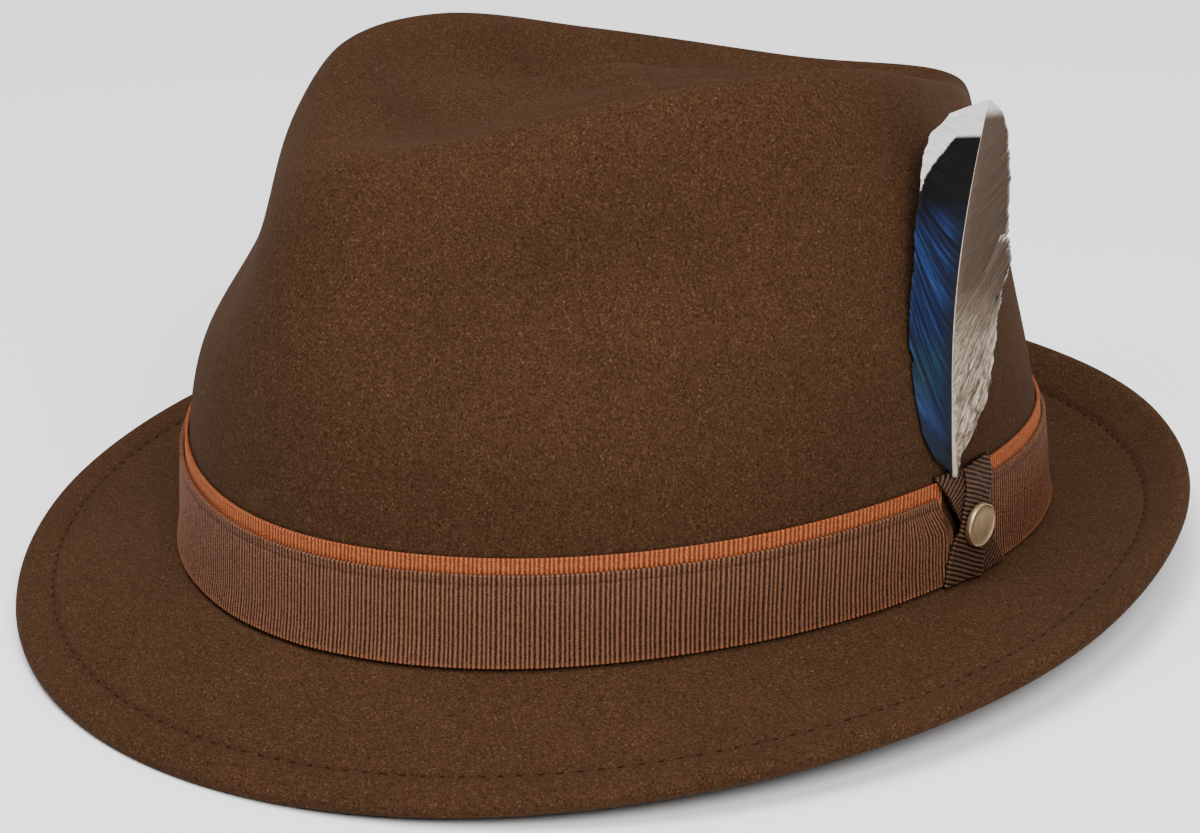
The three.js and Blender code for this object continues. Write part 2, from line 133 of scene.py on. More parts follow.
# Steps of the other meshes
SEAM_PATH_STEPS = 1440
RIBBON_RADIUS = 94.5
STEPS_PER_RIB = 6
RIBBON_WALL_STEPS = 1200
STRAP_STEPS_PER_RIB = 9
STRAP_COLUMNS = 25
STUD_SIDES = 96
BARBS = 460
POINTS_PER_BARB = 14
QUILL_RINGS = 90
QUILL_SIDES = 12

# Camera, lamps and floor, in metres and degrees, with the lens and its sensor in
# millimetres. The camera's numbers come from a fit to the hat's outline in the photo.
CAMERA_PLACE = (0.58791, -0.54494, 0.36604)
CAMERA_AZIMUTH = 47.274
CAMERA_ELEVATION = 22.60
CAMERA_ROLL = -1.886
CAMERA_LENS = 118.93
SENSOR_WIDTH = 36
LAMP_DISTANCE = 1.6
LAMP_SIZE = 0.9
LAMP_TARGET = (0, 0, 0.05)
FLOOR_REACH = 6
FLOOR_LEVEL = -0.0002

# Crown sections at turns 0, 30 ... 180: the reach, then the height, of each control
# point from low on the wall over the rim to the ridge. The numbers are a program's
# least-squares fit to the photo, rounded, with small changes.
CROWN_REACH = np.array([
    [0.995, 0.975, 0.925, 0.82, 0.72, 0.615, 0.49, 0.29],
    [0.995, 0.97, 0.825, 0.793, 0.65, 0.55, 0.46, 0.295],
    [1.02, 0.98, 0.822, 0.783, 0.71, 0.585, 0.475, 0.285],
    [1, 1, 0.94, 0.855, 0.72, 0.56, 0.405, 0.235],
    [0.99, 0.92, 0.88, 0.815, 0.715, 0.58, 0.43, 0.23],
    [0.975, 0.915, 0.862, 0.811, 0.76, 0.61, 0.485, 0.25],
    [0.985, 0.955, 0.93, 0.962, 0.878, 0.635, 0.465, 0.26],
])
CROWN_RISE = np.array([
    [0.22, 0.48, 0.755, 0.96, 0.95, 0.94, 0.9, 0.92],
    [0.23, 0.483, 0.66, 0.945, 1.02, 0.975, 0.89, 0.915],
    [0.22, 0.465, 0.705, 0.955, 1.09, 1, 0.94, 0.935],
    [0.22, 0.48, 0.72, 0.945, 1.08, 0.98, 0.85, 0.99],
    [0.21, 0.45, 0.66, 0.835, 0.99, 0.9, 0.835, 0.98],
    [0.21, 0.43, 0.623, 0.815, 0.89, 0.83, 0.88, 0.91],
    [0.22, 0.43, 0.645, 0.843, 0.79, 0.775, 0.82, 0.87],
])
CROWN = np.stack([CROWN_REACH, CROWN_RISE], -1)
# Brim sections at the same turns: level, reach, fall, lift. Level is rounded from such
# a fit, reach follows one, and fall and lift were given.
BRIM = np.array([
    [-0.045, 0.98, -0.38, -0.415],
    [-0.015, 1.0, -0.37, -0.36],
    [0.047, 1.03, -0.35, -0.22],
    [0.07, 1.0, -0.31, -0.04],
    [0.025, 0.875, -0.25, 0.21],
    [-0.055, 0.755, -0.19, 0.35],
    [-0.095, 0.715, -0.16, 0.36],
])
# Feather sections: along, front vane, back vane
VANES = np.array([
    [0, 0.03, 0.03],
    [0.05, 0.22, 0.09],
    [0.12, 0.33, 0.25],
    [0.23, 0.39, 0.455],
    [0.38, 0.435, 0.55],
    [0.5, 0.445, 0.61],
    [0.57, 0.455, 0.665],
    [0.65, 0.47, 0.61],
    [0.75, 0.505, 0.52],
    [0.85, 0.525, 0.445],
    [0.92, 0.5, 0.34],
    [0.97, 0.35, 0.2],
    [1, 0.03, 0.04],
])

OVAL_X = HEAD_WIDTH / 2 + WALL
OVAL_Y = HEAD_LENGTH / 2 + WALL
SPANS = CROWN.shape[1] + 1
rng = np.random.default_rng(7)


def smooth(x, low, high):
    share = np.clip((x - low) / (high - low), 0, 1)
    return share * share * (3 - 2 * share)


def unit(v):
    return v / np.linalg.norm(v, axis=-1, keepdims=True)


# The felt's faces, for flat arrays of turns and runs
def row_weights(turn):
    turn = np.asarray(turn, float) % 360
    place = np.where(turn <= 180, turn, 360 - turn) / 30
    first = np.minimum(np.floor(place), 5).astype(int)
    f = place - first
    shares = [(-f + 2 * f * f - f**3) / 2, (2 - 5 * f * f + 3 * f**3) / 2,
              (f + 4 * f * f - 3 * f**3) / 2, (-f * f + f**3) / 2]
    out = np.zeros((len(turn), 7))
    for k, share in enumerate(shares):
        row = 6 - np.abs(6 - np.abs(first - 1 + k))
        np.add.at(out, (np.arange(len(turn)), row), share)
    return out


def brim_values(turn):
    return (row_weights(turn) @ BRIM).T * BRIM_WIDTH


def brim_height(turn, out):
    level, reach, fall, lift = brim_values(turn)
    share = out / reach
    return level + fall * share + (lift - fall) * share * share


def oval_point(turn):
    a = np.radians(turn)
    return np.stack([OVAL_X * np.sin(a), -OVAL_Y * np.cos(a), 0 * a], -1)


def oval_normal(turn):
    a = np.radians(turn)
    return unit(np.stack([np.sin(a) / OVAL_X, -np.cos(a) / OVAL_Y, 0 * a], -1))


def controls(turn):
    points = np.einsum("nr,rkc->nkc", row_weights(turn), CROWN)
    points[..., 1] *= CROWN_HEIGHT
    level = brim_values(turn)[0]
    return np.concatenate([np.stack([np.ones_like(level), level], -1)[:, None], points], 1)


def section_of(turn):
    own = controls(turn)
    far = controls(np.asarray(turn) + 180)[:, -1]
    last = own[:, -1]
    middle_reach = (far[:, 0] - last[:, 0]) / 4
    middle_height = (6 * RIDGE_HEIGHT - last[:, 1] - far[:, 1]) / 4
    middle = np.stack([middle_reach, middle_height], -1)
    before = 2 * own[:, 0] - own[:, 1]
    beyond = np.stack([-far[:, 0], far[:, 1]], -1)
    return np.concatenate([before[:, None], own, middle[:, None], beyond[:, None]], 1)


def on_section(section, turn, climb):
    first = np.clip(np.floor(climb), 0, SPANS - 1).astype(int)
    f = climb - first
    shares = [(1 - f) ** 3 / 6, (3 * f**3 - 6 * f * f + 4) / 6,
              (-3 * f**3 + 3 * f * f + 3 * f + 1) / 6, f**3 / 6]
    at = np.arange(len(climb))
    reach, height = sum(s[:, None] * section[at, first + k] for k, s in enumerate(shares)).T
    point = oval_point(turn) * reach[:, None]
    point[:, 1] += RIDGE_SETBACK * (1 - reach)
    point[:, 2] = height * (1 + CROWN_LEAN * point[:, 0] / HEAD_WIDTH)
    return point


def climb_at(turn, height):
    section, level = section_of(turn), brim_values(turn)[0]
    low, high = np.zeros(len(turn)), np.full(len(turn), 3.0)
    for _ in range(22):
        middle = (low + high) / 2
        under = on_section(section, turn, middle)[:, 2] - level < height
        low, high = np.where(under, middle, low), np.where(under, high, middle)
    return low


def beside_wall(turn, height, off):
    shape = np.broadcast(turn, height, off).shape
    turn, height, off = (np.broadcast_to(v, shape).ravel().astype(float) for v in (turn, height, off))
    point = on_section(section_of(turn), turn, climb_at(turn, height))
    return (point + oval_normal(turn) * off[:, None]).reshape(shape + (3,))


class Meridians:
    """The felt's upper face on a set of turns. A run goes from the ridge (0) over the
    wall (1) and the break (2) to the brim's edge (3)."""

    def __init__(self, turn):
        self.turn = turn
        self.section = section_of(turn)
        self.wall_end = climb_at(turn, np.full(len(turn), float(BREAK_RADIUS)))
        self.foot = on_section(self.section, turn, 0 * turn)
        self.start = on_section(self.section, turn, self.wall_end)
        self.outward = oval_normal(turn)
        self.reach = brim_values(turn)[1]

    def on_brim(self, far):
        point = self.foot + self.outward * far[:, None]
        point[:, 2] = brim_height(self.turn, far)
        return point

    def point(self, run):
        climb = SPANS + (self.wall_end - SPANS) * np.clip(run, 0, 1)
        wall = on_section(self.section, self.turn, climb)
        f = np.clip(run - 1, 0, 1)[:, None]
        inner = self.on_brim(np.full(len(run), float(BREAK_RADIUS)))
        bend = (1 - f) ** 2 * self.start + 2 * f * (1 - f) * self.foot + f * f * inner
        flat = self.on_brim(BREAK_RADIUS + (self.reach - BREAK_RADIUS) * np.maximum(run - 2, 0))
        run = run[:, None]
        return np.where(run <= 1, wall, np.where(run <= 2, bend, flat))


class FeltFace:
    """Points and normals of the felt's upper face on a set of turns."""

    def __init__(self, turn):
        self.middle = Meridians(turn)
        self.before = Meridians(turn - 0.5)
        self.after = Meridians(turn + 0.5)

    def point(self, run):
        return self.middle.point(run)

    def normal(self, run):
        further = self.middle.point(np.minimum(run + 0.01, 3))
        along = further - self.middle.point(np.maximum(run - 0.01, 0.001))
        around = self.after.point(run) - self.before.point(run)
        return unit(np.cross(along, around))


def at_rest(points):
    cosine = math.cos(math.radians(REST_PITCH))
    sine = math.sin(math.radians(REST_PITCH))
    pitch = np.array([[1, 0, 0], [0, cosine, -sine], [0, sine, cosine]])
    return points @ pitch + np.array([0, REST_FORWARD, REST_UP])


# Meshes
def make(name, points, faces, attributes=None):
    points = at_rest(points)
    points[:, 2] = np.maximum(points[:, 2], 0)
    mesh = bpy.data.meshes.new(name)
    mesh.from_pydata((points / 1000).tolist(), [], faces)
    for key, values in (attributes or {}).items():
        layer = mesh.attributes.new(key, "FLOAT", "POINT")
        layer.data.foreach_set("value", np.asarray(values, np.float32).ravel())
    mesh.validate()
    mesh.update()
    mesh.shade_smooth()
    piece = bpy.data.objects.new(name, mesh)
    bpy.context.collection.objects.link(piece)
    return piece


def volume(points, faces):
    total = 0.0
    for count in {len(f) for f in faces}:
        group = np.array([f for f in faces if len(f) == count])
        a = points[group[:, 0]]
        for k in range(1, count - 1):
            turned = np.cross(points[group[:, k]], points[group[:, k + 1]])
            total += np.einsum("ij,ij->i", a, turned).sum()
    return total


def outward(points, faces):
    return [f[::-1] for f in faces] if volume(points, faces) < 0 else faces


def tube(sections):
    """Faces of a closed body from a row of closed sections, with flat ends."""
    count, rings = sections.shape[:2]
    i, j = np.meshgrid(np.arange(count - 1), np.arange(rings), indexing="ij")
    a, b = i * rings + j, i * rings + (j + 1) % rings
    quads = np.stack([a, b, b + rings, a + rings], -1).reshape(-1, 4)
    points = sections.reshape(-1, 3)
    first = points[:rings].mean(0)
    last = points[-rings:].mean(0)
    n = len(points)
    ends = [(n, (k + 1) % rings, k) for k in range(rings)]
    base = (count - 1) * rings
    ends += [(n + 1, base + k, base + (k + 1) % rings) for k in range(rings)]
    points = np.concatenate([points, [first, last]])
    faces = [tuple(q) for q in quads.tolist()] + ends
    return points, outward(points, faces)


def with_ends(values, sections):
    flat = np.asarray(values, float).reshape(-1)
    rings = sections.shape[1]
    return np.concatenate([flat, [flat[:rings].mean(), flat[-rings:].mean()]])


# Felt
class FeltRings:
    """Rings round the hat for the felt's mesh, each with its share of the sewn groove."""

    def __init__(self):
        self.turns = 360 * np.arange(FELT_TURNS) / FELT_TURNS
        self.face = FeltFace(self.turns)
        self.width = self.face.middle.reach - BREAK_RADIUS
        self.points = []
        self.seams = []

    def add(self, points, seam):
        self.points.append(points)
        self.seams.append(seam)

    def swell(self, run):
        """How far the folded welt lifts the brim's upper face."""
        share = np.clip((3 - run) * self.width / SEAM_INSET, 0, 1)
        return WELT_SWELL * np.sin(np.pi * share)

    def upper(self, run):
        run = np.broadcast_to(run, self.turns.shape).astype(float)
        inset = (3 - run) * self.width
        seam = np.exp(-(((inset - SEAM_INSET) / SEAM_WIDTH) ** 2)) * (run > 2)
        lift = self.swell(run) * (run > 2) - SEAM_DEPTH * seam
        self.add(self.face.point(run) + self.face.normal(run) * lift[:, None], seam)

    def under(self, run, depth):
        run = np.broadcast_to(run, self.turns.shape).astype(float)
        self.add(self.face.point(run) - self.face.normal(run) * depth, 0 * self.turns)

    def edge(self, run, depth):
        """The brim's round edge, from its upper face to the welt's lower one."""
        radius = depth / 2
        normal = self.face.normal(run)
        rim = self.face.point(np.full(len(self.turns), 3.0))
        outer = unit(rim - self.face.point(np.full(len(self.turns), 3 - RUN_STEP)))
        middle = self.face.point(run) - normal * radius
        for share in stretch(0, 1, EDGE_RINGS):
            angle = math.pi * share
            lift = math.cos(angle) * radius + self.swell(run) * (1 - share)
            self.add(middle + normal * lift[:, None] + outer * math.sin(angle) * radius, 0 * self.turns)


def stretch(start, end, count):
    """Even steps from start to end, without the start."""
    return [start + (end - start) * k / count for k in range(1, count + 1)]


def felt_rings():
    rings = FeltRings()
    fold_depth = WALL + WELT_FOLD
    strip_run = 3 - SEAM_STRIP / rings.width
    edge_run = 3 - fold_depth / 2 / rings.width
    welt_run = 3 - WELT_WIDTH / rings.width
    for run in stretch(0, 1, WALL_RINGS) + stretch(1, 2, BREAK_RINGS):
        rings.upper(run)
    for run in stretch(2, strip_run, BRIM_RINGS) + stretch(strip_run, edge_run, SEAM_RINGS):
        rings.upper(run)
    rings.edge(edge_run, fold_depth)
    for run in stretch(edge_run, welt_run, WELT_RINGS):
        rings.under(run, fold_depth)
    inside_run = welt_run - RUN_STEP
    rings.under(inside_run, WALL)
    for run in stretch(inside_run, 2, UNDER_RINGS) + stretch(2, 1, UNDER_BREAK_RINGS):
        rings.under(run, WALL)
    for run in stretch(1, 0, HOLLOW_RINGS)[:-1]:
        rings.under(run, WALL)
    return rings


def felt_body():
    rings = felt_rings()
    grid = np.stack(rings.points, 1)
    count, deep = grid.shape[:2]
    top = on_section(section_of(np.zeros(1)), np.zeros(1), np.full(1, float(SPANS)))[0]
    points = np.concatenate([grid.reshape(-1, 3), [top, top - [0, 0, WALL]]])
    i, j = np.meshgrid(np.arange(count), np.arange(deep - 1), indexing="ij")
    a = i * deep + j
    b = (i + 1) % count * deep + j
    quads = np.stack([a, a + 1, b + 1, b], -1).reshape(-1, 4)
    faces = [tuple(q) for q in quads.tolist()]
    ridge = len(points) - 2
    hollow = len(points) - 1
    for k in range(count):
        after = (k + 1) % count
        faces.append((ridge, k * deep, after * deep))
        faces.append((hollow, after * deep + deep - 1, k * deep + deep - 1))
    seam = np.concatenate([np.stack(rings.seams, 1).ravel(), [0, 0]])
    return make("felt", points, outward(points, faces), {"seam": seam})


# Brim stitches: short threads sunk in the seam
def brim_stitches():
    turns = np.linspace(0, 360, SEAM_PATH_STEPS + 1)
    around = Meridians(turns)
    runs = 3 - SEAM_INSET / (around.reach - BREAK_RADIUS)
    path = around.point(runs)
    steps = np.linalg.norm(np.diff(path, axis=0), axis=1)
    length = np.concatenate([[0], np.cumsum(steps)])
    count = int(length[-1] / STITCH_STEP)
    uneven = rng.uniform(-0.06, 0.06, count)
    places = (np.arange(count) + 0.5 + uneven) * length[-1] / count
    half = STITCH_LENGTH / 2 * rng.uniform(0.85, 1.1, count)
    shape = (count, len(STITCH_RISE), 3)
    stops = places[:, None] + half[:, None] * np.linspace(-1, 1, len(STITCH_RISE))
    turn = np.interp(stops.ravel(), length, turns)
    face = FeltFace(turn)
    run = np.interp(turn, turns, runs)
    up = face.normal(run).reshape(shape)
    rise = STITCH_RISE - SEAM_DEPTH * STITCH_SUNK
    centre = face.point(run).reshape(shape) + up * rise[:, None]
    along = unit(centre[:, -1] - centre[:, 0])[:, None]
    across = np.cross(up, along)
    angle = np.arange(STITCH_SIDES) * 2 * math.pi / STITCH_SIDES
    ring = up[:, :, None] * np.cos(angle)[:, None] + across[:, :, None] * np.sin(angle)[:, None]
    threads = centre[:, :, None] + ring * STITCH_RADIUS
    points = []
    faces = []
    for thread in threads:
        own_points, own_faces = tube(thread)
        start = sum(len(p) for p in points)
        points.append(own_points)
        faces += [tuple(start + v for v in corners) for corners in own_faces]
    return make("brim_stitches", np.concatenate(points), faces)


# Ribbons
def turn_from_knot(length):
    return KNOT_TURN + np.degrees(np.asarray(length, float) / OVAL_Y)


def seat_height(turn, off):
    corner = np.maximum(BREAK_RADIUS - off, 0)
    bend = BREAK_RADIUS - np.sqrt(np.maximum(BREAK_RADIUS**2 - corner**2, 0))
    slope = brim_height(turn, off) - brim_values(turn)[0]
    return np.maximum(bend, slope) + CLEARANCE


TRIM_OFF = CLEARANCE
BAND_OFF = TRIM_OFF + TRIM_THICKNESS + CLEARANCE
STRAP_OFF = BAND_OFF + BAND_THICKNESS + CLEARANCE
BAND_TOP = TRIM_TOP - TRIM_SHOWN
STRAP_TOP = TRIM_TOP + STRAP_HOOK


def flare_at(height):
    return BAND_FLARE * (1 - smooth(height, 0, FLARE_HEIGHT))


def rib_of(phase):
    """0 in the groove between two ribs, 1 on a rib."""
    return np.cos(np.pi * phase) ** 2


def ribbon(name, shares, begin, end, height_of, off_of, thickness, seam_at=None):
    ribs = int(2 * math.pi * RIBBON_RADIUS / RIB_PITCH)
    steps = ribs * STEPS_PER_RIB
    step = np.arange(steps + 1) / steps
    first = turn_from_knot(begin)
    last = turn_from_knot(end(0.5)) + 360
    wall_turn = first + (last - first) * np.linspace(0, 1, RIBBON_WALL_STEPS + 1)
    # slow waves make the weave a little uneven
    phase = step * ribs + 0.1 * np.sin(step * 900)
    wobble = 0.05 * np.sin(step * 61) + 0.04 * np.sin(step * 143 + 1)
    total = (height_of(wall_turn, 1.0) - height_of(wall_turn, 0.0)).mean()
    rows = []
    values = {"rib": [], "edge": [], "seam": [], "across": []}

    def add(share, relief, edge, seam):
        # only the far end follows its slanted cut, so the ribs stay upright
        shift = np.degrees((end(share) - end(0.5)) / OVAL_Y) * smooth(step, 0.97, 1)
        turn = first + (last - first) * step + shift
        wall = beside_wall(wall_turn, height_of(wall_turn, share), off_of(share))
        point = np.stack([np.interp(turn, wall_turn, wall[:, k]) for k in range(3)], -1)
        rows.append(point + oval_normal(turn) * relief[:, None])
        row = {"rib": phase, "edge": edge, "seam": seam, "across": share * total}
        for key, value in row.items():
            values[key].append(np.broadcast_to(value, step.shape))

    for share in shares:
        inset = min(share, 1 - share) * total
        selvedge = math.exp(-((inset / SELVEDGE_WIDTH) ** 2))
        seam = 0.0
        if seam_at is not None:
            from_seam = total * (1 - share) - seam_at
            seam = math.exp(-((from_seam / 0.25) ** 2))
        relief = RIB_DEPTH * (rib_of(phase) - 0.5) * (1 + 0.5 * selvedge) + 0.1 * selvedge
        edge = math.exp(-((share * total / 0.6) ** 2))
        add(share, thickness + relief - 0.12 * seam + wobble, edge, seam)
    for share in (1.0, 0.5, 0.0):
        add(share, 0 * step, 0.0, 0.0)
    sections = np.stack(rows, 1)
    points, faces = tube(sections)
    attributes = {key: with_ends(np.stack(v, 1), sections) for key, v in values.items()}
    return make(name, points, faces, attributes)


def trim_ribbon():
    shares = [0, 0.5, 0.64, 0.7, 0.78, 0.86, 0.93, 0.97, 1]

    def height_of(turn, share):
        return np.full(len(turn), TRIM_TOP - TRIM_HEIGHT * (1 - share))

    def off_of(share):
        return TRIM_OFF

    def end(share):
        return -TRIM_END

    return ribbon("trim", shares, UNDER_WIDTH / 4, end, height_of, off_of, TRIM_THICKNESS)


def band_ribbon():
    low = [0, 0.012, 0.03, 0.06, 0.12, 0.2, 0.32, 0.46]
    high = [0.6, 0.74, 0.84, 0.88, 0.9, 0.92, 0.95, 0.98, 1]

    def off_of(share):
        return BAND_OFF + flare_at(BAND_TOP * share)

    def height_of(turn, share):
        seat = seat_height(turn, np.full(len(turn), off_of(share)))
        return seat + (BAND_TOP - seat) * share

    def end(share):
        return -BAND_END - BAND_END_CUT * smooth(share, 0.5, 1)

    return ribbon(
        "band", low + high, OVER_WIDTH / 2, end, height_of, off_of, BAND_THICKNESS, RIBBON_SEAM)


def strap_off(height):
    low = STRAP_OFF + flare_at(height)
    share = np.clip((height - BAND_TOP - CLEARANCE) / TRIM_SHOWN, 0, 1)
    middle = STRAP_OFF + (BAND_OFF - STRAP_OFF) * share
    share = np.clip((height - TRIM_TOP - CLEARANCE) / (STRAP_HOOK - CLEARANCE), 0, 1)
    high = BAND_OFF + (CLEARANCE - BAND_OFF) * share
    upper = np.where(height <= TRIM_TOP + CLEARANCE, middle, high)
    return np.where(height <= BAND_TOP + CLEARANCE, low, upper)


def under_centre(height):
    return UNDER_SHIFT + UNDER_SLANT * (0.5 - height / STRAP_TOP)


def over_centre(height):
    return OVER_SHIFT + OVER_SLANT * (0.5 - height / STRAP_TOP)


def over_lift(length, height):
    cosine = STRAP_TOP / math.hypot(STRAP_TOP, UNDER_SLANT)
    apart = np.abs(length - under_centre(height)) * cosine - UNDER_WIDTH / 2
    return 1 - smooth(apart, OVER_LEVEL, OVER_RAMP)


def strap(name, centre, width, slant, off_at, pinch, rib_slope):
    long = math.hypot(STRAP_TOP, slant)
    ribs = long / RIB_PITCH
    level = np.linspace(0, 1, int(ribs * STRAP_STEPS_PER_RIB))[:, None]
    k = np.linspace(-0.5, 0.5, STRAP_COLUMNS)[None]
    waist = 1 - pinch * np.exp(-(((level - 0.45) / 0.25) ** 2))
    rough = STRAP_TOP * level
    length = centre(rough) + width * long / STRAP_TOP * waist * k
    turn = turn_from_knot(length)
    seat = seat_height(turn.ravel(), STRAP_OFF + BAND_FLARE).reshape(turn.shape)
    height = seat + (STRAP_TOP - seat) * level
    off = off_at(length, height)
    phase = (level * long + k * width * rib_slope) / RIB_PITCH + 0.05 * np.sin(k * 9)
    inset = (0.5 - np.abs(k)) * width * waist
    selvedge = np.exp(-((inset / SELVEDGE_WIDTH) ** 2))
    relief = RIB_DEPTH * 1.3 * (rib_of(phase) - 0.5) * (1 - 0.4 * selvedge) + 0.08 * selvedge
    crown = 0.12 * (1 - (2 * k) ** 2)
    front = beside_wall(turn, height, off + STRAP_THICKNESS + relief + crown)
    pick = [STRAP_COLUMNS - 1, STRAP_COLUMNS // 2, 0]
    back = beside_wall(turn[:, pick], height[:, pick], off[:, pick])
    sections = np.concatenate([front, back], 1)
    points, faces = tube(sections)

    def both(values):
        values = np.broadcast_to(values, turn.shape)
        return with_ends(np.concatenate([values, values[:, pick]], 1), sections)

    edge = np.exp(-(((0.5 - k) * width / 0.55) ** 2))
    no_seam = np.zeros((1, 1))
    return make(name, points, faces, {
        "rib": both(phase), "edge": both(edge), "seam": both(no_seam), "across": both(k * width)})


def under_strap():
    # its ribs lie square to the slanted strap
    slope = -UNDER_SLANT / STRAP_TOP

    def off_at(length, height):
        return strap_off(height)

    return strap("strap_under", under_centre, UNDER_WIDTH, UNDER_SLANT, off_at, 0.06, slope)


def over_strap():
    step = STRAP_THICKNESS + CLEARANCE

    def off_at(length, height):
        return strap_off(height) + step * over_lift(length, height)

    return strap("strap_over", over_centre, OVER_WIDTH, OVER_SLANT, off_at, 0.12, OVER_RIB_SLOPE)


# Stud
def stud():
    radius = STUD_DIAMETER / 2
    high = STUD_THICKNESS
    profile = [
        (0.001, 0), (radius - 0.25, 0), (radius - 0.08, 0.06), (radius, 0.25),
        (radius, high - 0.35), (radius - 0.05, high - 0.15), (radius - 0.14, high - 0.04),
        (radius - 0.24, high), (radius - 0.34, high - 0.03), (radius - STUD_RIM, high - 0.12),
        (radius - STUD_RIM - 0.15, high - 0.17), (radius * 0.6, high - 0.16), (0.001, high - 0.15),
    ]
    turn = float(turn_from_knot(STUD_SHIFT))
    tilt = math.sin(math.radians(abs(STUD_TURN))) * radius
    off = STRAP_OFF + 2 * STRAP_THICKNESS + 2 * CLEARANCE + tilt
    centre = beside_wall(np.array([turn]), np.array([STUD_LEVEL]), np.array([off]))[0]
    a = math.radians(STUD_TURN)
    facing = oval_normal(np.array([turn]))[0]
    x, y = facing[:2]
    facing = np.array([x * math.cos(a) - y * math.sin(a), x * math.sin(a) + y * math.cos(a), 0])
    up = np.array([0, 0, 1])
    side = np.cross(up, facing)
    points = []
    for reach, height in profile:
        for k in range(STUD_SIDES):
            b = 2 * math.pi * k / STUD_SIDES
            rim = side * reach * math.cos(b) + up * reach * math.sin(b)
            points.append(centre + rim + facing * height)
    faces = []
    last = (len(profile) - 1) * STUD_SIDES
    for first in range(0, last, STUD_SIDES):
        for k in range(STUD_SIDES):
            after = (k + 1) % STUD_SIDES
            faces.append((first + k, first + after, first + STUD_SIDES + after, first + STUD_SIDES + k))
    faces.append(tuple(range(STUD_SIDES - 1, -1, -1)))
    faces.append(tuple(range(last, last + STUD_SIDES)))
    points = np.array(points)
    return make("stud_cap", points, outward(points, faces))


# Feather: each row of the mesh is one barb
def feather_frame():
    height = np.array([STRAP_TOP + CLEARANCE])
    off = np.array([CLEARANCE + QUILL_RADIUS * 2])
    foot = beside_wall(turn_from_knot([FEATHER_SHIFT]), height, off)[0]
    a = math.radians(FEATHER_FACING)
    lean_in = math.radians(FEATHER_LEAN_IN)
    lean_back = math.radians(FEATHER_LEAN_BACK)
    facing = np.array([math.cos(a), -math.sin(a), 0])
    side = np.array([-facing[1], facing[0], 0])
    up = np.array([0, 0, math.cos(lean_in)]) - facing * math.sin(lean_in)
    up = up * math.cos(lean_back) + side * math.sin(lean_back)
    out = unit(np.cross(side, up))
    return foot, up, unit(np.cross(up, out)), out


def quill_line(along):
    foot, up, across, out = feather_frame()
    along = np.asarray(along, float)[..., None]
    bow = np.sin(np.pi * along)
    bend = out * FEATHER_STAND_OFF - across * FEATHER_BOW
    return foot + up * along * FEATHER_LENGTH + bend * bow


def frayed_widths(root, side, edge_along):
    """Share of the feather's width that each barb reaches. Barbs end unevenly, most at
    the frayed tip and in the down."""
    front = np.interp(edge_along, VANES[:, 0], VANES[:, 1])
    back = np.interp(edge_along, VANES[:, 0], VANES[:, 2])
    loose = rng.normal(0, 1, BARBS)
    clump = np.convolve(rng.normal(0, 1, BARBS), np.ones(7) / 7, "same") * 2
    jag = (loose * 0.35 + clump * 0.5)[:, None]
    fray_front = 0.004 + 0.022 * smooth(edge_along, 0.8, 0.95)
    fray_tip = 0.012 + 0.015 * smooth(edge_along, 0.7, 0.95)
    fray_back = fray_tip + 0.02 * (1 - smooth(edge_along, 0.3, 0.5))
    splits = sum(0.09 * np.exp(-(((root - at) / 0.003) ** 2)) for at in (0.08, 0.12, 0.17, 0.31))
    high_notch = 0.2 * np.exp(-(((root - 0.42) / 0.008) ** 2))
    low_notch = 0.07 * np.exp(-(((root - 0.2) / 0.005) ** 2))
    front = front * (1 + jag * fray_front - splits)
    back = back * (1 + jag * fray_back - high_notch - low_notch)
    return np.where(side < 0, front, back)


def barb_waves(row, root, side):
    """How far the barbs rise and dip: wide waves, and tufts in the down."""
    depth = np.abs(side)
    waves = 0.12 * np.sin(row * 0.16 + depth * 3) * depth
    waves = waves + 0.25 * np.sin(row * 0.045 + 1) * depth**2
    down = (side > 0) * (1 - smooth(root, 0.32, 0.5))
    tufts = np.sin(row * 0.9 + depth * 14 + 2 * np.sin(row * 0.21))
    return waves + down * 0.22 * tufts * smooth(depth, 0.1, 0.5)


def feather_vanes():
    _, _, across, out = feather_frame()
    share = np.arange(-POINTS_PER_BARB, POINTS_PER_BARB + 1) / POINTS_PER_BARB
    root, side = np.meshgrid(np.linspace(0, 1, BARBS), share, indexing="ij")
    depth = np.abs(side)
    rake = 0.38 * smooth(root, 0, 0.12)
    along = root + (1 - root) * rake * depth**1.15
    edge_along = root + (1 - root) * rake
    width = frayed_widths(root, side, edge_along) * FEATHER_WIDTH * depth
    fold = np.radians(FEATHER_FOLD) * smooth(along, 0, FOLD_SHARE)
    middle = quill_line(along.ravel()).reshape(root.shape + (3,))
    row = np.arange(BARBS)[:, None]
    lift = barb_waves(row, root, side) - width * np.sin(fold)
    surface = middle + across * (np.sign(side) * width * np.cos(fold))[..., None]
    surface = surface + out * lift[..., None]
    relief = 0.05 * np.cos(row * math.pi) * smooth(depth, 0.03, 0.2)
    thick = 0.16 * (1 - depth) + 0.06
    top = surface + out * (thick + relief)[..., None]
    under = surface - out * thick[..., None]
    sections = np.concatenate([top, under[:, ::-1]], 1)
    points, faces = tube(sections)

    def both(values):
        values = np.broadcast_to(values, root.shape)
        return with_ends(np.concatenate([values, values[:, ::-1]], 1), sections)

    return make("feather_vanes", points, faces, {
        "along": both(along), "side": both(side), "barb": both(row)})


